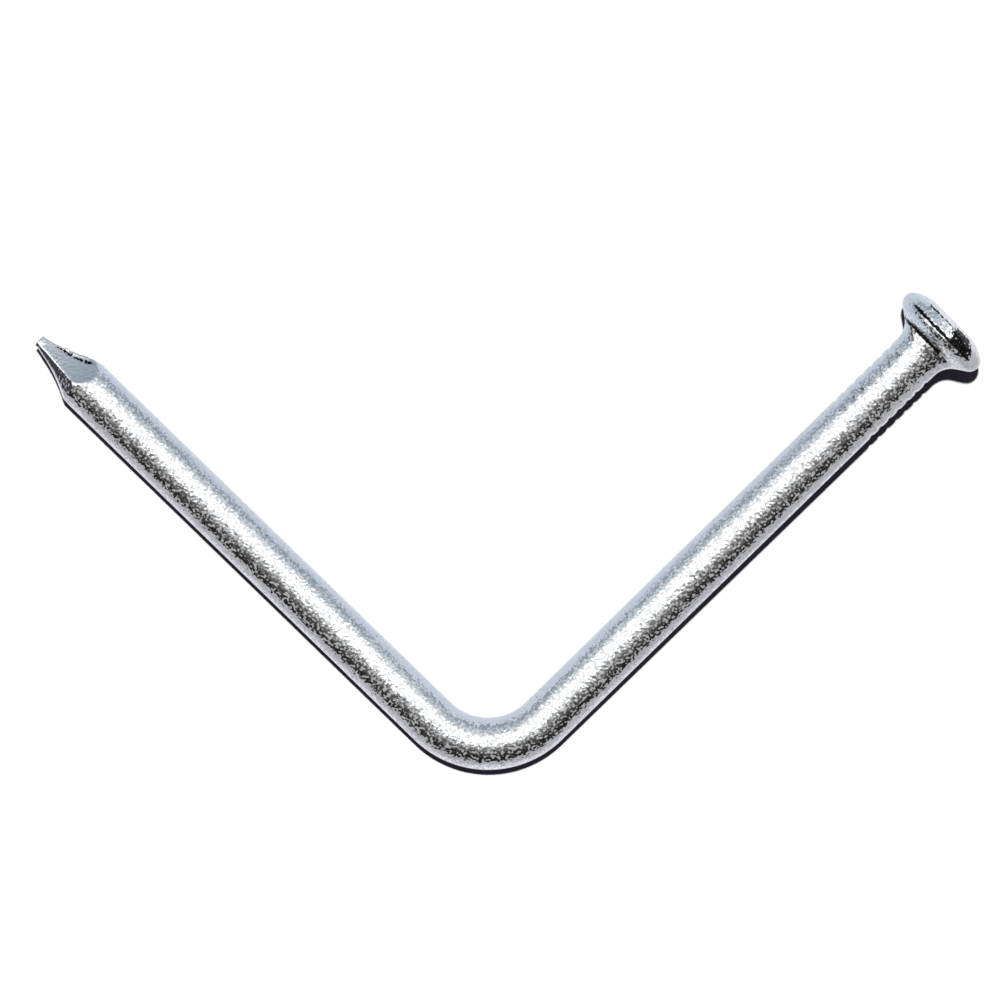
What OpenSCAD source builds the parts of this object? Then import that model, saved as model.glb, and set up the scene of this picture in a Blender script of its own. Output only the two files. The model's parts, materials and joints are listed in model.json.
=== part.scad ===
// Bent nail: a round wire nail with a domed head, a flared neck and a pinched four-sided point.
// It was folded once near the middle of its shank and now lies on a flat surface.
//
// Frame: +Z is up and the nail lies on z = 0. The bend opens towards +Y, the point is on the -X
// side and the head on the +X side. The origin is under the middle of the nail.

/* [Wire] */
// Diameter of the wire
wire_d = 4.2; // [3:0.1:6]
// Length of the nail along its centre line, from the tip to the face of the head
nail_length = 100; // [80:1:130]

/* [Bend] */
// How far along the centre line from the tip the middle of the bend is
bend_from_tip = 49.0; // [36:0.1:60]
// Angle left between the two arms
arm_angle = 91.5; // [70:0.5:125]
// Radius of the bend at the centre line
bend_r = 6.4; // [5:0.1:12]
// How much the wire drew thinner around the bend
bend_draw = 0.04; // [0.03:0.01:0.2]

/* [Head] */
// Diameter of the head
head_d = 8.2; // [7.5:0.1:12]
// Radius of the head's rounded rim
rim_round = 0.88; // [0.5:0.02:1]
// Radius of the shoulder that rounds the face over towards the rim
face_round = 3.76; // [1.5:0.02:5]
// How far the shoulder has turned over, in degrees, where it meets the rim
face_turn = 33; // [15:1:45]
// How far the underside of the head leans back towards the wire, in degrees
under_turn = 55; // [40:1:70]
// Radius of the hollow between the wire and the underside
neck_round = 1.94; // [0.6:0.02:3]

/* [Point] */
// Length of the four pinched flats, measured from the tip
flat_runs = [5.35, 5.35, 6.6, 4.6]; // [4:0.1:8]
// Distance of each flat from the centre line at the tip
flat_tips = [0.42, 0.39, 0.2, 0.63]; // [0.2:0.05:0.7]
// Direction of each flat around the wire, from straight up towards the inside of the bend
flat_turns = [27, 115, 225, 320]; // [0:1:359]
// Radius of the tool that pinched the flats, which leaves them slightly hollow
pinch_r = 12; // [10:0.5:60]

/* [Grip marks] */
// Number of grip marks on each side of the wire
grip_count = 7; // [3:1:14]
// Distance from one grip mark to the next
grip_pitch = 1.0; // [0.8:0.1:1.6]
// Distance from the face of the head to the first grip mark
grip_start = 5.2; // [4.5:0.1:8]
// Depth of a grip mark
grip_depth = 0.1; // [0.05:0.01:0.2]
// How far a grip mark reaches around the wire, in degrees
grip_spread = 110; // [60:5:150]

/* [Hidden] */
$fn = 96;

// Wire and head: the rim's section is a circle, whose middle is this far from the centre line
// and this far below the face, and the hollow of the neck is kept within the rim
wire_r = wire_d / 2;
head_r = head_d / 2;
rim_mid = head_r - rim_round;
rim_depth = face_round - (face_round - rim_round) * cos(face_turn);
face_mid = rim_mid - (face_round - rim_round) * sin(face_turn);
rim_back = rim_mid + rim_round * cos(under_turn);
neck_hollow = min(neck_round, 0.9 * (rim_back - wire_r) / (1 - cos(under_turn)));
cone_w = rim_back - wire_r - neck_hollow * (1 - cos(under_turn));
neck_depth = rim_depth + (rim_round + neck_hollow) * sin(under_turn)
    + cone_w * cos(under_turn) / sin(under_turn);

// Bend: the two arms are measured from the corner where their centre lines would meet
half_angle = arm_angle / 2;
bend_turn = 180 - arm_angle;
bend_length = bend_r * bend_turn * PI / 180;
tangent = bend_r * tan(bend_turn / 2);
bend_centre = bend_r / sin(half_angle);
point_arm = bend_from_tip - bend_length / 2 + tangent;
head_arm = nail_length - bend_from_tip - bend_length / 2 + tangent;

// Rest: the point arm lies along the surface, and the nail rolls about that arm until the
// lowest part of the head's rim touches the surface too
rim_arm = head_arm - rim_depth;
rise = atan2(rim_mid, rim_arm) - asin((wire_r - rim_round) / norm([rim_arm, rim_mid]));
roll = asin(sin(rise) / sin(arm_angle));

// Outline of the nail seen from above, measured from the corner, to centre it on the origin
left_x = -point_arm * sin(half_angle) - flat_tips[1] * cos(half_angle);
right_x = rim_arm * sin(half_angle) + rim_mid * cos(half_angle) + rim_round;
front_y = bend_centre - bend_r - wire_r;
head_y = rim_arm * cos(half_angle) + rim_mid * sin(half_angle) + rim_round;
point_y = point_arm * cos(half_angle) + flat_tips[1] * sin(half_angle);
back_y = max(head_y, point_y);

// The straight wires run on into the thinner wire of the bend by this much
lap = 0.3;
wire_start = tangent - lap;

// Grip marks are cut by a thin ring, whose own section is a circle
grip_tool_r = 0.35;

// Points along an arc around mid, from one direction to another in equal steps
function arc(mid, r, from, to, steps) =
    [for (i = [0:steps]) mid + r * [cos(from + (to - from) * i / steps),
                                    sin(from + (to - from) * i / steps)]];

// Half section of the head arm, with the middle of the face on y = 0: the wire, the hollow of
// the neck, the cone of the underside, the rounded rim, the shoulder and the flat middle
module head_arm_section() {
    neck = arc([wire_r + neck_hollow, -neck_depth], neck_hollow, 180, 180 - under_turn, 8);
    rim = arc([rim_mid, -rim_depth], rim_round, -under_turn, 90 - face_turn, 14);
    shoulder = arc([face_mid, -face_round], face_round, 90 - face_turn, 90, 5);
    wire_end = wire_start - head_arm;
    polygon(concat([[0, wire_end], [wire_r, wire_end]], neck, rim,
                   [for (i = [1:5]) shoulder[i]], [[0, 0]]));
}

// Tool that pinches one flat of the point, whose tip is on z = 0: its surface runs through
// the flat's distance from the centre line at the tip and the wire's surface at the flat's end
module pinch_tool(run, tip, turn) {
    chord = norm([run, wire_r - tip]);
    slope = atan2(wire_r - tip, run);
    away = sqrt(pinch_r * pinch_r - chord * chord / 4);
    centre_x = (tip + wire_r) / 2 + away * cos(slope);
    centre_z = away * sin(slope) - run / 2;
    rotate([0, 0, turn])
        translate([centre_x, 0, centre_z])
            rotate([90, 0, 0]) cylinder(r = pinch_r, h = 3 * wire_d, center = true, $fn = 180);
}

// The point arm, along +Z from the corner and with +X up: its wire is pinched to a point
module point_arm_wire() {
    difference() {
        translate([0, 0, wire_start]) cylinder(d = wire_d, h = point_arm - wire_start);
        translate([0, 0, point_arm])
            for (i = [0:3]) pinch_tool(flat_runs[i], flat_tips[i], flat_turns[i]);
    }
}

// Grip marks on one side of the wire, which face the direction turn
module grip_marks(turn) {
    rotate([0, 0, turn - grip_spread / 2])
        for (i = [0:grip_count - 1])
            translate([0, 0, head_arm - grip_start - i * grip_pitch])
                rotate_extrude(angle = grip_spread)
                    translate([wire_r + grip_tool_r - grip_depth, 0])
                        circle(r = grip_tool_r, $fn = 24);
}

// The head arm, along +Z from the corner and with +X up: wire, head and grip marks
module head_arm_wire() {
    difference() {
        translate([0, 0, head_arm]) rotate_extrude() head_arm_section();
        grip_marks(90);
        grip_marks(-90);
    }
}

// The whole nail in the plane of its bend, around the middle of the bend's curve: the point
// arm leaves the start of the curve along -Y, and the head arm leaves the curve's other end
module flat_nail() {
    rotate_extrude(angle = bend_turn) translate([bend_r, 0]) circle(d = wire_d - bend_draw);
    translate([bend_r, tangent, 0]) rotate([90, -90, 0]) point_arm_wire();
    rotate([0, 0, bend_turn])
        translate([bend_r, -tangent, 0]) rotate([-90, -90, 0]) head_arm_wire();
}

module nail() {
    color([0.80, 0.82, 0.84])
        translate([-(left_x + right_x) / 2, -(front_y + back_y) / 2, wire_r])
            rotate(a = -roll, v = [-sin(half_angle), cos(half_angle), 0])
                translate([0, bend_centre, 0])
                    rotate([0, 0, -90 - bend_turn / 2]) flat_nail();
}

nail();
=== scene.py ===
# %% [markdown]
# # A bent nail
#
# The object is one round wire nail, bright with zinc, that somebody folded to about a right
# angle. This notebook makes its looks around the measured model: the wire, the pinched point with
# its burr, the grip marks, the struck and beaten head, the bend, and the bright plated surface.
#
# A real nail is made straight and bent afterwards, and so is this one. The mesh is first drawn
# out straight along +Z, where a place on it is simply a distance along the wire and a direction
# around it. Every detail is worked into the straight nail, and one formula then bends it.

# %% Load the measured model
import json
from math import atan2, cos, degrees, exp, hypot, log, pi, radians, sin, sqrt, tan

import bmesh
import bpy
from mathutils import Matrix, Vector, noise
from mathutils.geometry import intersect_line_line


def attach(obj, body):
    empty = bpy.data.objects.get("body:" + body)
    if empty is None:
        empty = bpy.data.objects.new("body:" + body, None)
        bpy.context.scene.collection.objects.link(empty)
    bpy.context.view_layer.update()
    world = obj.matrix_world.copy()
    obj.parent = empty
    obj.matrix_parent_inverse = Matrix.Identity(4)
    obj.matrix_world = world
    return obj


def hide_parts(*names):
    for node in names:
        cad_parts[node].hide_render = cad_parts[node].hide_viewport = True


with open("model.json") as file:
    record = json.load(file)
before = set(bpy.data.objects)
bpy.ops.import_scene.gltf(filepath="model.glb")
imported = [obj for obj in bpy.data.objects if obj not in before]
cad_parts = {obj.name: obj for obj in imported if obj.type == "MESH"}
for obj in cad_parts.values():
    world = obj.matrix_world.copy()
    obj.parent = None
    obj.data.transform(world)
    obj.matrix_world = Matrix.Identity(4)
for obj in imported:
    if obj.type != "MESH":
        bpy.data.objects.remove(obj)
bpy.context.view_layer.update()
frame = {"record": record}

# %% [markdown]
# ## Where the nail lies
#
# The frame's record names two places to fasten to: the straight shank near the point, and the
# face of the head. Each gives a place and a direction, so together they fix both arms. Their
# centre lines meet at the corner that the bend rounds off, and all the rest follows from it.

# %% The two arms
MM = 0.001
mounts = {mount["name"]: mount for mount in frame["record"]["mounts"]}
shank_place = Vector(mounts["point_shank"]["pos_m"])
to_point = Vector(mounts["point_shank"]["axis"]).normalized()
face_place = Vector(mounts["head_face"]["pos_m"])
to_head = Vector(mounts["head_face"]["axis"]).normalized()

wire_r = mounts["point_shank"]["dims"]["r_mm"] * MM
nail_length = 100 * MM
bend_r = 6.4 * MM

corner = intersect_line_line(
    shank_place, shank_place + to_point, face_place, face_place + to_head
)[0]
turn = pi - to_point.angle(to_head)
tangent = bend_r * tan(turn / 2)
head_start = nail_length - (face_place - corner).length + tangent
bend_start = head_start - turn * bend_r
print(f"bends by {degrees(turn):.1f} degrees, from {bend_start / MM:.1f} to {head_start / MM:.1f} mm")

# %% [markdown]
# ## The straight blank
#
# A closed tube could be one cylinder, but its rings have to be close together where there is
# detail and may be far apart along the plain wire. So it starts as one circle, which is extruded
# a stretch at a time, and each stretch is cut into as many rings as its detail needs.

# %% Draw the wire
RING_SIDES = 144
POINT_END = 7.2 * MM
NECK_DEPTH = 4.21 * MM
GRIP_START = 5.2 * MM
GRIP_PITCH = 1.0 * MM
GRIP_COUNT = 7
neck_start = nail_length - NECK_DEPTH
grip_end = nail_length - GRIP_START - GRIP_COUNT * GRIP_PITCH

blank = bmesh.new()
bmesh.ops.create_circle(blank, segments=RING_SIDES, radius=wire_r)
ring = blank.edges[:]


def only(kind, items):
    """The items that are of one kind of mesh element."""
    return [item for item in items if isinstance(item, kind)]


def extrude_ring(edges, rise=0.0, scale=1.0):
    """Extrudes a ring of edges, lifts it and scales it about the wire's centre line."""
    made = bmesh.ops.extrude_edge_only(blank, edges=edges)["geom"]
    verts = only(bmesh.types.BMVert, made)
    new_ring = [edge for edge in only(bmesh.types.BMEdge, made) if set(edge.verts) <= set(verts)]
    bmesh.ops.translate(blank, verts=verts, vec=(0, 0, rise))
    bmesh.ops.scale(blank, verts=verts, vec=(scale, scale, 1))
    return new_ring


def draw_to(edges, start, end, spacing):
    """Extrudes a ring from one distance along the wire to another, and cuts it into rings."""
    new_ring = extrude_ring(edges, rise=end - start)
    below = {vert for edge in edges for vert in edge.verts}
    met = [e for edge in new_ring for vert in edge.verts for e in vert.link_edges
           if e.other_vert(vert) in below]
    # each long edge is met twice, and a dictionary drops the second and keeps the order
    long_edges = list(dict.fromkeys(met))
    cuts = max(1, round((end - start) / spacing) - 1)
    bmesh.ops.subdivide_edges(blank, edges=long_edges, cuts=cuts, use_grid_fill=True)
    return new_ring


stretches = (
    # where the stretch ends, and the distance from ring to ring
    (POINT_END, 0.075 * MM),
    (bend_start, 0.35 * MM),
    (head_start, 0.15 * MM),
    (grip_end, 0.35 * MM),
    (neck_start, 0.08 * MM),
)
reached = 0.0
for stretch_end, spacing in stretches:
    ring = draw_to(ring, reached, stretch_end, spacing)
    reached = stretch_end
print("wire drawn to", round(reached / MM, 2), "mm,", len(blank.verts), "vertices")

# %% [markdown]
# ## The head
#
# The head is struck out of the end of the wire between a die and a punch. The die shapes the
# hollow neck, the cone under the head and the lower half of the rim. The punch shapes the upper
# half, the shoulder and the flat middle of the face. The last ring is carried along that outline,
# which is three arcs joined by a short cone, and then in across the face.

# %% Strike the head
HEAD_R = 4.1 * MM
RIM_ROUND = 0.88 * MM
FACE_ROUND = 3.76 * MM
NECK_ROUND = 1.94 * MM
FACE_TURN = radians(33)
UNDER_TURN = radians(55)
CONE_STEPS = 8
FLAT_STEPS = 10
rim_mid = HEAD_R - RIM_ROUND
rim_depth = FACE_ROUND - (FACE_ROUND - RIM_ROUND) * cos(FACE_TURN)
face_mid = rim_mid - (FACE_ROUND - RIM_ROUND) * sin(FACE_TURN)


def arc(mid_r, mid_s, radius, start, end, steps):
    """Places along an arc, as (distance from the centre line, distance along the wire)."""
    angles = [start + (end - start) * step / steps for step in range(1, steps + 1)]
    return [(mid_r + radius * cos(a), mid_s + radius * sin(a)) for a in angles]


neck = arc(wire_r + NECK_ROUND, neck_start, NECK_ROUND, pi, pi - UNDER_TURN, 18)
rim = arc(rim_mid, nail_length - rim_depth, RIM_ROUND, -UNDER_TURN, pi / 2 - FACE_TURN, 48)
shoulder = arc(face_mid, nail_length - FACE_ROUND, FACE_ROUND, pi / 2 - FACE_TURN, pi / 2, 16)
cone_from = Vector(neck[-1])
cone_to = Vector(rim[0])
cone = [tuple(cone_from.lerp(cone_to, step / CONE_STEPS)) for step in range(1, CONE_STEPS)]
flat = [(face_mid * step / FLAT_STEPS, nail_length) for step in range(FLAT_STEPS - 1, 0, -1)]
outline = neck + cone + rim + shoulder + flat

here = (wire_r, neck_start)
for radius, height in outline:
    ring = extrude_ring(ring, rise=height - here[1], scale=radius / here[0])
    here = (radius, height)
bmesh.ops.contextual_create(blank, geom=ring)
print("head outline:", len(outline), "rings,", len(blank.verts), "vertices")

# %% [markdown]
# The tip is closed the same way. The first ring, at the very end of the wire, is carried inwards
# over a low dome, so that the tip ends in a small blunt face and not in a hole.

# %% Close the tip
TIP_DOME = 0.05 * MM
TIP_SCALES = (0.8, 0.55, 0.3)
first_ring = [edge for edge in blank.edges if all(abs(v.co.z) < 1e-9 for v in edge.verts)]
first_ring = [edge for edge in first_ring if len(edge.link_faces) == 1]
for scale in TIP_SCALES:
    first_ring = extrude_ring(first_ring, rise=-TIP_DOME * (1 - scale), scale=scale)
bmesh.ops.contextual_create(blank, geom=first_ring)
bmesh.ops.recalc_face_normals(blank, faces=blank.faces[:])
print("open edges left:", sum(len(edge.link_faces) != 2 for edge in blank.edges))

# %% [markdown]
# ## Two small helpers
#
# Wear has soft edges, so most of what follows fades in and out. A smooth ramp between two values
# does that. Everything around the wire is told by one direction, which is 0 straight up, positive
# towards the inside of the bend and negative towards its outside.

# %% A ramp and a direction


def ramp(value, low, high):
    """0 below low, 1 above high, and a smooth rise between them."""
    share = min(1.0, max(0.0, (value - low) / (high - low)))
    return share * share * (3 - 2 * share)


def around(vert):
    """A vertex's direction around the wire, from straight up towards the inside of the bend."""
    return atan2(-vert.co.y, vert.co.x)


print("a ramp a quarter of the way up:", ramp(0.25, 0, 1))

# %% [markdown]
# ## The flats of the point
#
# Four jaws close on the wire and pinch the point off the next nail. Each leaves a flat that is
# slightly hollow, like the round face of the jaw. The flats aren't equal: the jaws are worn and
# meet off centre, and a fifth, very small flat stands where the outer ridge has worn away.
#
# A vertex lies where the lowest of the wire and the flats is. A soft minimum in place of the true
# one rounds the ridges a little, and more at the tip, which is blunted.

# %% The shape of the flats
FLATS = (
    # direction around the wire in degrees, length along it, distance off centre at the tip
    (27, 5.35 * MM, 0.42 * MM),
    (115, 5.35 * MM, 0.39 * MM),
    (225, 6.60 * MM, 0.20 * MM),
    (328, 4.60 * MM, 0.60 * MM),
    (286, 4.60 * MM, 0.62 * MM),
)
PINCH_R = 12 * MM
RIDGE_ROUND = 0.04 * MM
TIP_ROUND = 0.12 * MM
BLUNT_LENGTH = 1.2 * MM


def flat_height(along, run, tip):
    """How far a flat is from the centre line, at a distance along the wire from the tip."""
    chord = hypot(run, wire_r - tip)
    slope = atan2(wire_r - tip, run)
    away = sqrt(PINCH_R**2 - chord**2 / 4)
    middle_s = run / 2 - away * sin(slope)
    middle_r = (tip + wire_r) / 2 + away * cos(slope)
    return middle_r - sqrt(PINCH_R**2 - (along - middle_s) ** 2)


def soft_minimum(values, width):
    """The lowest value, rounded off where the two lowest are close."""
    least = min(values)
    return least - width * log(sum(exp((least - value) / width) for value in values))


def pinched_radius(along, direction, radius):
    """The radius that the jaws leave, where the wire had the given radius."""
    limits = [radius]
    for flat_turn, run, tip in FLATS:
        facing = cos(direction - radians(flat_turn))
        if facing > 0.2:
            limits.append(flat_height(max(along, 0.0), run, tip) / facing)
    blunt = 1 - ramp(along, 0.0, BLUNT_LENGTH)
    return soft_minimum(limits, RIDGE_ROUND + (TIP_ROUND - RIDGE_ROUND) * blunt)


for flat_turn, run, tip in FLATS:
    print(f"flat at {flat_turn} degrees: {tip / MM:.2f} mm off centre, ends at {run / MM:.2f} mm")

# %% [markdown]
# ## The burr and the painted shade of the point
#
# Where two jaws meet, a thin torn burr of metal is squeezed out along the ridge. It could be a
# piece of its own, but it grew out of the wire, so it is made as a low hump across the ridge,
# and noise along the wire tears its edge. Painted shade darkens the fold beside it, and a painted
# dark reflection darkens the outer corner of the tip. How dark a vertex is painted goes into one
# attribute, and how much the jaws have pressed it into one called "pinched". The metal reads both
# later.

# %% Pinch the point
BURR_TURN = radians(72)
BURR_WIDTH = 7
BURR_HEIGHT = 0.15 * MM
BURR_TEETH = 2.6
BURR_RISE = (1.2 * MM, 1.9 * MM)
BURR_FALL = (3.6 * MM, 4.4 * MM)

# painted shade: the fold beside the burr is darkened where shade falls in it
FOLD_TURN = BURR_TURN - radians(13)
FOLD_WIDTH = 7
FOLD_SHADE = 0.66
FOLD_RISE = (0.9 * MM, 1.5 * MM)
FOLD_FALL = (4.2 * MM, 4.8 * MM)

# painted reflection: the tip's outer corner is darkened as if it mirrored dark surroundings
OUTER_CORNER = radians(-38)
CORNER_WIDTH = 22
CORNER_DARK_REFLECTION = 0.58
CORNER_FALL = (0.2 * MM, 0.6 * MM)
FULLY_PRESSED = 0.025


def hump(direction, middle, width):
    """1 in the middle, and fading to nothing over a few widths, which are in degrees."""
    return exp(-(degrees(direction - middle) / width) ** 2)


def burr(along, direction):
    """The height of the torn burr that stands along the ridge between two flats."""
    length = ramp(along, *BURR_RISE) * (1 - ramp(along, *BURR_FALL))
    torn = 0.7 + 1.1 * noise.noise(Vector((along / MM * BURR_TEETH, 0.0, 3.0)))
    return BURR_HEIGHT * hump(direction, BURR_TURN, BURR_WIDTH) * length * max(0.0, torn)


def point_shade(along, direction):
    """Painted shade in the fold by the burr, and a painted dark reflection on the tip's outer corner.
    """
    fold = ramp(along, *FOLD_RISE) * (1 - ramp(along, *FOLD_FALL))
    fold *= hump(direction, FOLD_TURN, FOLD_WIDTH)
    tip = hump(direction, OUTER_CORNER, CORNER_WIDTH) * (1 - ramp(along, *CORNER_FALL))
    return max(FOLD_SHADE * fold, CORNER_DARK_REFLECTION * tip)


pinched_mask = blank.verts.layers.float.new("pinched")
shade_and_patch_mask = blank.verts.layers.float.new("grime")
for vert in blank.verts:
    if vert.co.z < POINT_END:
        along = vert.co.z
        direction = around(vert)
        kept = (pinched_radius(along, direction, wire_r) + burr(along, direction)) / wire_r
        vert.co.x *= kept
        vert.co.y *= kept
        vert[pinched_mask] = min(1.0, (1 - kept) / FULLY_PRESSED)
        # the point's painted shade and painted dark reflection
        vert[shade_and_patch_mask] = point_shade(along, direction)
print("pinched vertices:", sum(vert[pinched_mask] > 0.5 for vert in blank.verts))

# %% [markdown]
# ## Grip marks
#
# The jaws that hold the wire while the head is struck leave a ladder of shallow marks on two
# opposite sides, just under the head. Each mark is a round groove that runs part of the way
# around the wire and fades out at its ends.

# %% Press the grip marks
GRIP_TOOL_R = 0.35 * MM
GRIP_DEPTH = 0.08 * MM
GRIP_SPREAD = radians(66)
GRIP_FADE = radians(12)


def grip_depth(along, direction):
    """How deep the grip marks are at a place on the wire."""
    mark = round((nail_length - GRIP_START - along) / GRIP_PITCH)
    if not 0 <= mark < GRIP_COUNT:
        return 0.0
    off = along - (nail_length - GRIP_START - mark * GRIP_PITCH)
    if abs(off) >= GRIP_TOOL_R:
        return 0.0
    deep = sqrt(GRIP_TOOL_R**2 - off**2) - (GRIP_TOOL_R - GRIP_DEPTH)
    side = min(abs(direction - pi / 2), abs(direction + pi / 2))
    return max(0.0, deep) * (1 - ramp(side, GRIP_SPREAD - GRIP_FADE, GRIP_SPREAD))


marked = 0
for vert in blank.verts:
    if grip_end < vert.co.z < neck_start:
        depth = grip_depth(vert.co.z, around(vert))
        kept = 1 - depth / hypot(vert.co.x, vert.co.y)
        vert.co.x *= kept
        vert.co.y *= kept
        marked += depth > 0
print("vertices in the grip marks:", marked)

# %% [markdown]
# ## The beaten head
#
# The hammer has beaten the top of the rim into a flat facet, which ends in a lip before the face.
# The dies didn't close evenly either: on the upper and lower sides the neck stays thin for longer,
# and flares out only close under the head. Both are changes of a vertex's radius, so each is a
# function from where the vertex is to the radius it should have.

# %% The radii of the worn head
RIM_LINE = nail_length - rim_depth
NECK_LINE = nail_length - 2.63 * MM
THIN_NECK = 0.25
NECK_SIDES = (0.5, 0.95)
FLARE_RISE = (NECK_LINE, NECK_LINE + 0.3 * MM)
LIP_END = nail_length - 0.4 * MM
LIP_SLOPE = 0.44
LIP_TURN = radians(11)
FACET_FADE = (radians(18), radians(42))


def rim_radius(along):
    """The radius of the head's outline between its widest place and the middle of the face."""
    deep = nail_length - along
    if along < nail_length - FACE_ROUND * (1 - cos(FACE_TURN)):
        return rim_mid + sqrt(max(0.0, RIM_ROUND**2 - (rim_depth - deep) ** 2))
    return face_mid + sqrt(max(0.0, FACE_ROUND**2 - (FACE_ROUND - deep) ** 2))


def neck_radius(along, direction, radius):
    """The radius of the neck, which is thinner on its upper and lower sides."""
    flare = THIN_NECK + (1 - THIN_NECK) * ramp(abs(sin(direction)), *NECK_SIDES)
    flare += (1 - flare) * ramp(along, *FLARE_RISE)
    return wire_r + (radius - wire_r) * flare if radius > wire_r else radius


def beaten_radius(along, radius):
    """The radius on the beaten facet: a gentle slope out to the lip, then the steep face."""
    if radius <= face_mid:
        return radius
    if along < LIP_END:
        return HEAD_R - LIP_SLOPE * (along - RIM_LINE)
    lip = HEAD_R - LIP_SLOPE * (LIP_END - RIM_LINE)
    return face_mid + (radius - face_mid) * (lip - face_mid) / (rim_radius(LIP_END) - face_mid)


def beaten_share(along, direction):
    """1 on the beaten facet, and 0 away from it."""
    if along < RIM_LINE:
        return 0.0
    return 1 - ramp(abs(direction - LIP_TURN), *FACET_FADE)


lip_height = beaten_radius(LIP_END, rim_radius(LIP_END)) - rim_radius(LIP_END)
print("the lip stands out by", round(lip_height / MM, 2), "mm")

# %% [markdown]
# ## The painted shade of the head
#
# Two shallow grooves run round the head, one in the crease under it and one around its rim where
# the dies met, and shade is painted black along both. A third, faint line of painted shade marks the
# lip, and next to the beaten facet a black patch is painted on. Noise makes the lines uneven.

# %% Wear the head and paint its shade
LINE_DEPTH = 0.07 * MM
LINE_WIDTH = 0.13 * MM
# painted shade: how black the grooves under the head and around the rim are painted
LINE_SHADE = 1.6
UNEVEN_SCALE = 900
RIM_LINE_FADE = (radians(40), radians(54))
NECK_LINE_TURN = radians(25)
NECK_LINE_FADE = (radians(46), radians(60))
# painted shade along the lip
LIP_SHADE = 0.65
LIP_LINE_WIDTH = 0.08 * MM
PATCH_TURN = radians(-27)
PATCH_FADE = (radians(10), radians(26))
PATCH_RISE = (RIM_LINE + 0.05 * MM, RIM_LINE + 0.15 * MM)
PATCH_FALL = (nail_length - 0.25 * MM, nail_length - 0.1 * MM)
# how black the patch next to the beaten facet is painted
PATCH_DARK = 0.82


def line(along, place, width):
    """1 on a line around the nail, and fading to nothing over a few widths of it."""
    return exp(-((along - place) / width) ** 2)


def head_lines(along, direction):
    """The grooves in the crease under the head and around its rim, upper side, with painted shade."""
    rim_line = 1 - ramp(abs(direction), *RIM_LINE_FADE)
    neck_line = 1 - ramp(abs(direction - NECK_LINE_TURN), *NECK_LINE_FADE)
    return max(line(along, RIM_LINE, LINE_WIDTH) * rim_line,
               line(along, NECK_LINE, LINE_WIDTH) * neck_line)


def black_patch(along, direction):
    """The black patch painted between the rim's line and the face."""
    patch = 1 - ramp(abs(direction - PATCH_TURN), *PATCH_FADE)
    patch *= ramp(along, *PATCH_RISE) * (1 - ramp(along, *PATCH_FALL))
    return PATCH_DARK * patch


for vert in blank.verts:
    along = vert.co.z
    radius = hypot(vert.co.x, vert.co.y)
    if along < neck_start or radius < 1e-9:
        continue
    direction = around(vert)
    beaten = beaten_share(along, direction)
    uneven = 0.75 + 0.5 * noise.noise(Vector((vert.co.x, vert.co.y, along)) * UNEVEN_SCALE)
    lines = head_lines(along, direction) * uneven
    worn = neck_radius(along, direction, radius) - LINE_DEPTH * lines
    worn += (beaten_radius(along, radius) - radius) * beaten
    # painted shade of the grooves and the lip, and the painted black patch
    lip_line = LIP_SHADE * beaten * line(along, LIP_END, LIP_LINE_WIDTH)
    vert[shade_and_patch_mask] = max(min(1.0, lines * LINE_SHADE), black_patch(along, direction), lip_line)
    vert.co.x *= worn / radius
    vert.co.y *= worn / radius
print("grimy vertices:", sum(vert[shade_and_patch_mask] > 0.5 for vert in blank.verts))

# %% [markdown]
# ## Bend it
#
# One formula bends the straight nail. It follows the centre line: straight, then round the curve,
# then straight again. A vertex keeps its height above the centre line's plane and its distance
# inwards or outwards, so the outside of the curve is stretched and the inside is squeezed.
#
# The formula may turn the mesh inside out, and on so bent a shape Blender's own test for the
# outside can choose wrongly. The signed volume can't: it is above zero only where the faces of a
# closed mesh point outwards. If it is below zero, all faces are turned over.

# %% Bend the blank
inwards = (to_head - to_head.project(to_point)).normalized()
upwards = inwards.cross(to_point)
curve_start = corner + to_point * tangent
curve_middle = curve_start + inwards * bend_r


def bent_place(vert):
    """Where a vertex of the straight nail comes to lie when the nail is bent and put down."""
    angle = min(turn, max(0.0, (vert.co.z - bend_start) / bend_r))
    ahead = -to_point * cos(angle) + inwards * sin(angle)
    inner = inwards * cos(angle) + to_point * sin(angle)
    centre = curve_middle - inner * bend_r + ahead * (vert.co.z - bend_start - bend_r * angle)
    return centre + upwards * vert.co.x - inner * vert.co.y


for vert in blank.verts:
    vert.co = bent_place(vert)
bmesh.ops.recalc_face_normals(blank, faces=blank.faces[:])
if blank.calc_volume(signed=True) < 0:
    bmesh.ops.reverse_faces(blank, faces=blank.faces[:])
print("signed volume:", round(blank.calc_volume(signed=True) / MM ** 3, 1), "cubic mm")

nail_mesh = bpy.data.meshes.new("bent_nail")
blank.to_mesh(nail_mesh)
blank.free()
nail_mesh.polygons.foreach_set("use_smooth", [True] * len(nail_mesh.polygons))
nail = bpy.data.objects.new("bent_nail", nail_mesh)
bpy.context.scene.collection.objects.link(nail)
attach(nail, "root")
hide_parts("nail")
print("triangles:", sum(len(face.vertices) - 2 for face in nail_mesh.polygons))

# %% [markdown]
# ## A way to write shaders
#
# A material is a tree of nodes. Wiring each Math node by hand hides what is worked out, so one
# small class wraps a socket and lets Python's own signs add the nodes. One method adds any other
# node.

# %% The shader class


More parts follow.
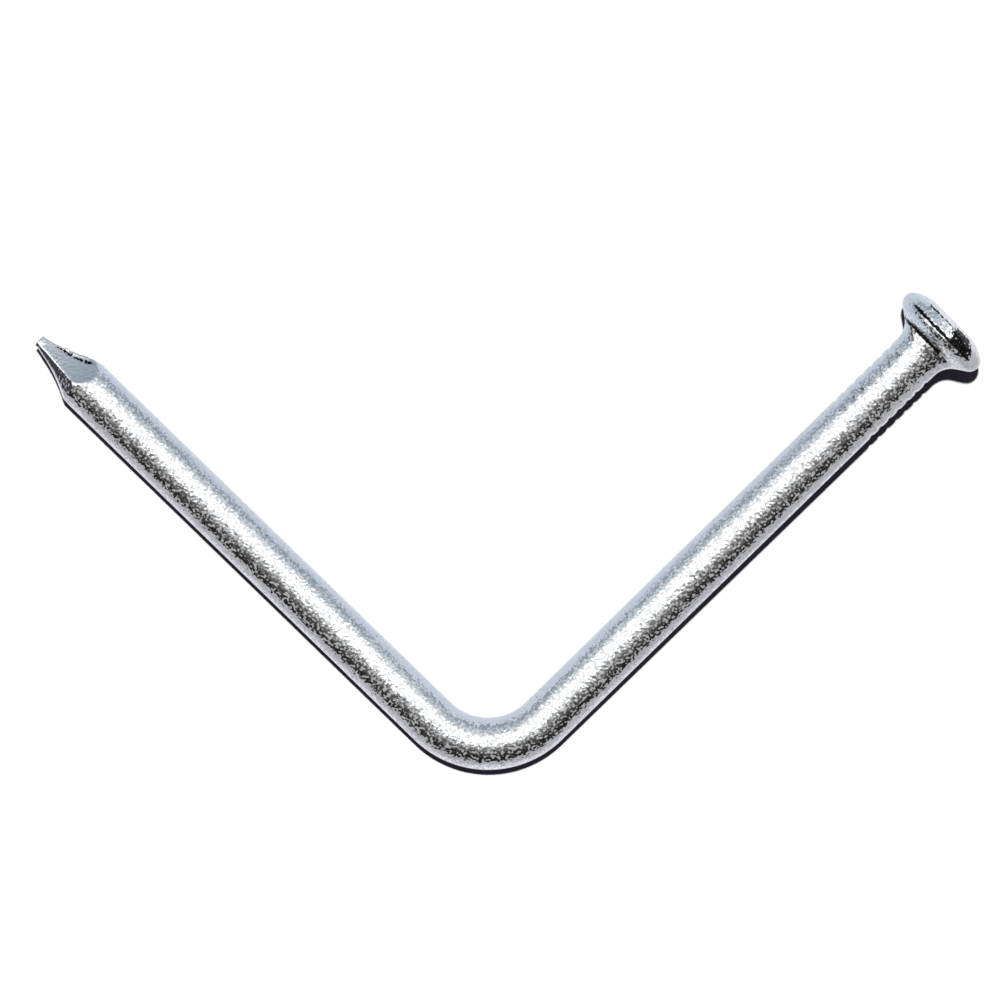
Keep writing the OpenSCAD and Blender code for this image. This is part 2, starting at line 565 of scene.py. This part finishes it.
class Shade:
    """A socket of a node tree that can be used in Python expressions."""

    def __init__(self, tree, socket=None):
        self.tree = tree
        self.socket = socket

    def node(self, kind, settings=None, inputs=None, output=0):
        """Adds a node, sets it up, fills or links its sockets, and gives one of its outputs."""
        made = self.tree.nodes.new("ShaderNode" + kind)
        for name, value in (settings or {}).items():
            if name == "stops":
                ramp_stops = made.color_ramp.elements
                while len(ramp_stops) < len(value):
                    ramp_stops.new(1.0)
                for stop, (place, colour) in zip(ramp_stops, value):
                    stop.position = place
                    stop.color = (*colour, 1.0)
            else:
                setattr(made, name, value)
        for name, value in (inputs or {}).items():
            if isinstance(value, Shade):
                self.tree.links.new(value.socket, made.inputs[name])
            else:
                made.inputs[name].default_value = value
        return Shade(self.tree, made.outputs[output]) if made.outputs else made

    def beside(self, output):
        """Another output of the node that this socket is on."""
        return Shade(self.tree, self.socket.node.outputs[output])

    def maths(self, operation, *values):
        """A Math node on the given values."""
        return self.node("Math", {"operation": operation}, dict(enumerate(values)))

    def vector(self, operation, other=None, scale=None):
        """A Vector Math node with this socket first, and a second vector or a scale."""
        inputs = {0: self}
        if other is not None:
            inputs[1] = other
        if scale is not None:
            inputs["Scale"] = scale
        return self.node("VectorMath", {"operation": operation}, inputs)

    def __add__(self, other):
        return self.maths("ADD", self, other)

    def __sub__(self, other):
        return self.maths("SUBTRACT", self, other)

    def __mul__(self, other):
        return self.maths("MULTIPLY", self, other)

    def __rsub__(self, other):
        return self.maths("SUBTRACT", other, self)

    __radd__ = __add__
    __rmul__ = __mul__

    def fade(self, low, high):
        """0 where this value is below low, 1 where it is above high, smooth between them."""
        settings = {"interpolation_type": "SMOOTHSTEP"}
        return self.node("MapRange", settings, {"Value": self, "From Min": low, "From Max": high})

    def mix(self, low, high):
        """The colour low where this value is 0, and high where it is 1."""
        colours = {"Factor": self, 6: low, 7: high}
        return self.node("Mix", {"data_type": "RGBA"}, colours, output=2)


def new_tree(owner):
    """An empty node tree on a material or world, as the start of expressions."""
    owner.use_nodes = True
    owner.node_tree.nodes.clear()
    return Shade(owner.node_tree)


print("a Shade can:", ", ".join(name for name in vars(Shade) if not name.startswith("_")))

# %% [markdown]
# ## Bright zinc
#
# Zinc plating is a mirror made of tiny crystals. Each crystal faces its own way by a few degrees,
# and between them runs a fine grain like orange peel. That breaks dark reflections into sparkles.
# Both are far too fine for the mesh, so they only turn the surface's normal: Voronoi cells give
# each crystal its tilt, and a noise of about a fifth of a millimetre is the bump of the grain.
#
# Here and there the zinc has dulled to a pale speck, which is no mirror. On the flats of the point
# the jaws have pressed the crystals smooth. Where the painted shade and the black patch are thick,
# the grain decides which spots are painted black.

# %% The plated surface
ZINC_CLEAN = (0.86, 0.88, 0.90, 1)
ZINC_STAINED = (0.78, 0.80, 0.82, 1)
# the black in which the painted shade, the painted dark reflection and the head's patch are painted
SHADE_AND_PATCH_BLACK = (0.012, 0.012, 0.013, 1)
CRYSTAL_TILT = 0.17
PRESSED_FLAT = 0.12
GRAIN_HEIGHT = 0.035 * MM
SPECK_STRENGTH = 0.8

zinc = bpy.data.materials.new("bright_zinc")
shade = new_tree(zinc)
place = shade.node("TexCoord", output="Object")
grain = shade.node("TexNoise", {"noise_dimensions": "3D"},
                   {"Vector": place, "Scale": 4200.0, "Detail": 0.5, "Roughness": 0.5})
stain = shade.node("TexNoise", {"noise_dimensions": "3D"},
                   {"Vector": place, "Scale": 420.0, "Detail": 4.0, "Roughness": 0.6})
specks = shade.node("TexNoise", {"noise_dimensions": "3D"},
                    {"Vector": place, "Scale": 4600.0, "Detail": 0.0})
crystal = shade.node("TexVoronoi", {}, {"Vector": place, "Scale": 5200.0}, output="Color")
pressed = shade.node("Attribute", {"attribute_name": "pinched"}, output="Fac")
grime = shade.node("Attribute", {"attribute_name": "grime"}, output="Fac")

tilt = crystal.vector("SUBTRACT", other=(0.5, 0.5, 0.5))
tilt = tilt.vector("SCALE", scale=CRYSTAL_TILT - pressed * PRESSED_FLAT)
facing = shade.node("NewGeometry", output="Normal").vector("ADD", other=tilt).vector("NORMALIZE")
bump = shade.node("Bump", {}, {
    "Strength": 1.0, "Distance": GRAIN_HEIGHT, "Height": grain, "Normal": facing})

# painted shade: grooves, fold, tip corner and lip are painted black here, as is the head's patch
black = (grime + (grain - 0.5) * 1.6).fade(0.35, 0.6)
dull = specks.fade(0.53, 0.64) * (1 - pressed) * SPECK_STRENGTH
colour = black.mix(stain.mix(ZINC_CLEAN, ZINC_STAINED), SHADE_AND_PATCH_BLACK)
metal = shade.node("BsdfPrincipled", {}, {
    "Base Color": colour, "Metallic": 1 - dull, "Roughness": stain * 0.1 + black * 0.4 + 0.06,
    "Normal": bump})
shade.node("OutputMaterial", {}, {"Surface": metal})
nail_mesh.materials.append(zinc)
print("nodes in the zinc:", len(zinc.node_tree.nodes))

# %% [markdown]
# ## Studio
#
# Polished metal shows its surroundings more than itself, so the surroundings are drawn with care.
# They are a dome whose brightness depends only on the angle from straight up towards the far side:
# dark on the near side, one long soft light a little to the far side of straight up, and a cool
# grey beyond it. Its left and right ends are dark. The camera itself sees plain white.

# %% The dome
DOME = (
    # degrees from straight up towards the far side, and the light's colour there
    (-90, (0.02, 0.02, 0.022)),
    (-74, (0.015, 0.013, 0.01)),
    (-58, (0.03, 0.027, 0.023)),
    (-45, (0.08, 0.075, 0.068)),
    (-32, (0.14, 0.134, 0.127)),
    (-22, (0.25, 0.245, 0.24)),
    (-14, (0.43, 0.425, 0.425)),
    (-8, (0.85, 0.85, 0.86)),
    (-4, (1.6, 1.6, 1.6)),
    (28, (1.6, 1.6, 1.6)),
    (35, (0.95, 0.97, 0.98)),
    (46, (0.62, 0.66, 0.70)),
    (60, (0.42, 0.48, 0.54)),
    (78, (0.32, 0.37, 0.44)),
    (90, (0.26, 0.31, 0.38)),
)
DARK_END = (0.05, 0.05, 0.055, 1)
WHITE = (1, 1, 1, 1)

world = bpy.data.worlds.new("studio")
bpy.context.scene.world = world
shade = new_tree(world)
direction = shade.node("TexCoord", output="Generated")
across = shade.node("SeparateXYZ", {}, {0: direction}, output="X")
far = across.beside("Y")
up = across.beside("Z")
lean = far.maths("ARCTAN2", far, up) * (1 / pi) + 0.5
stops = [((angle + 90) / 180, tint) for angle, tint in DOME]
dome = shade.node("ValToRGB", {"stops": stops}, {"Fac": lean})
end = across.maths("ABSOLUTE", across).fade(0.74, 0.95)
seen = shade.node("LightPath", output="Is Camera Ray")
sky = seen.mix(end.mix(dome, DARK_END), WHITE)
light = shade.node("Background", {}, {"Color": sky, "Strength": 1.0})
shade.node("OutputWorld", {}, {"Surface": light})
print("the long light is", DOME[9][0] - DOME[8][0], "degrees wide")

# %% [markdown]
# ## The paper under the nail
#
# The nail lies on white paper, and its lower half mirrors it, so how bright the mirrored paper is
# decides how bright the lower edges of the wire look. The light and shade of the paper, as the
# metal mirrors it, is painted into an emission: brightest right under the nail, dimming to both
# sides, with a dip just outside the bend. This painted light depends only on how far inside or
# outside the bend's two arms a place is, so a colour ramp across the arms gives it. The camera
# doesn't see that painted light: it sees plain paper, which keeps the nail's shadow.

# %% The floor
PAPER_REACH = 60 * MM
PAPER_PAINTED_LIGHT = (
    # millimetres inside the bend, or outside it where negative, and the painted light mirrored there
    (-60, (0.45, 0.45, 0.48)),
    (-30, (0.57, 0.57, 0.61)),
    (-9, (0.50, 0.50, 0.54)),
    (-5, (0.84, 0.84, 0.89)),
    (0, (0.94, 0.95, 0.99)),
    (3, (0.76, 0.81, 0.89)),
    (6, (0.63, 0.70, 0.80)),
    (10, (0.64, 0.71, 0.82)),
    (22, (0.44, 0.50, 0.58)),
    (60, (0.34, 0.40, 0.48)),
)
PAPER_SEEN = (0.036, 0.031, 0.048, 1)
FLOOR_SIZE = 3.0
HALF_CORNER = sqrt(0.5)

floor_bm = bmesh.new()
bmesh.ops.create_grid(floor_bm, x_segments=1, y_segments=1, size=FLOOR_SIZE / 2)
floor_mesh = bpy.data.meshes.new("floor")
floor_bm.to_mesh(floor_mesh)
floor_bm.free()
floor = bpy.data.objects.new("floor", floor_mesh)
bpy.context.scene.collection.objects.link(floor)

paper = bpy.data.materials.new("white_paper")
shade = new_tree(paper)
spot = shade.node("TexCoord", output="Object")
spot_x = shade.node("SeparateXYZ", {}, {0: spot}, output="X")
spot_y = spot_x.beside("Y")
sideways = spot_x - corner.x
inside = (spot_y - sideways.maths("ABSOLUTE", sideways) - corner.y) * HALF_CORNER
share = inside * (0.5 / PAPER_REACH) + 0.5
stops = [(0.5 + 0.5 * distance * MM / PAPER_REACH, tint) for distance, tint in PAPER_PAINTED_LIGHT]
# painted reflection: the paper's light and shade, as the metal sees it
painted_reflection = shade.node("ValToRGB", {"stops": stops}, {"Fac": share})
for_metal = shade.node("Emission", {}, {"Color": painted_reflection, "Strength": 1.0})
for_camera = shade.node("BsdfDiffuse", {}, {"Color": PAPER_SEEN})
seen = shade.node("LightPath", output="Is Camera Ray")
surface = shade.node("MixShader", {}, {0: seen, 1: for_metal, 2: for_camera})
shade.node("OutputMaterial", {}, {"Surface": surface})
floor_mesh.materials.append(paper)
print("floor:", FLOOR_SIZE, "m wide")

# %% [markdown]
# ## The sun on the paper
#
# The shadow beside a thin wire is a dark line with a sharp edge. The dome is too soft to cast one,
# so a sun lights the paper, and the paper alone: a light-linking collection holds only the floor,
# and the nail stays in the dome's light. The sun leans a little from the far side, which puts the
# shadow along the nail's near edge. The paper that the camera sees is a dark tint under a strong
# sun, so that it comes out white in the light and nearly black out of it.

# %% The sun
SUN_LEAN = radians(11.2)
sun_data = bpy.data.lights.new("sun", "SUN")
sun_data.energy = 102.0
sun_data.color = (0.867, 1.0, 0.65)
sun_data.angle = radians(2)
sun = bpy.data.objects.new("sun", sun_data)
bpy.context.scene.collection.objects.link(sun)
sun.rotation_euler = (-SUN_LEAN, 0, 0)
lit = bpy.data.collections.new("lit_by_the_sun")
lit.objects.link(floor)
sun.light_linking.receiver_collection = lit

# %% [markdown]
# ## Camera
#
# The camera looks straight down from far away, so that the wire looks equally thick all along
# and the head is seen from its side. Its lens follows from how wide a strip of paper it takes in.

# %% The camera
CAMERA_FAR = 1.0
VIEW_WIDE = 80.45 * MM
LOOK_AT = Vector((-0.67, 2.55, 2.1)) * MM
CAMERA_TURN = radians(-0.15)

camera_data = bpy.data.cameras.new("camera")
camera_data.sensor_width = 36
camera_data.lens = camera_data.sensor_width * CAMERA_FAR / VIEW_WIDE
camera_data.clip_end = 10
camera = bpy.data.objects.new("camera", camera_data)
bpy.context.scene.collection.objects.link(camera)
camera.location = LOOK_AT + Vector((0, 0, CAMERA_FAR))
camera.rotation_euler = (0, 0, CAMERA_TURN)
bpy.context.scene.camera = camera
bpy.context.scene.view_settings.view_transform = "Standard"
print("lens:", round(camera_data.lens, 1), "mm")

# %% [markdown]
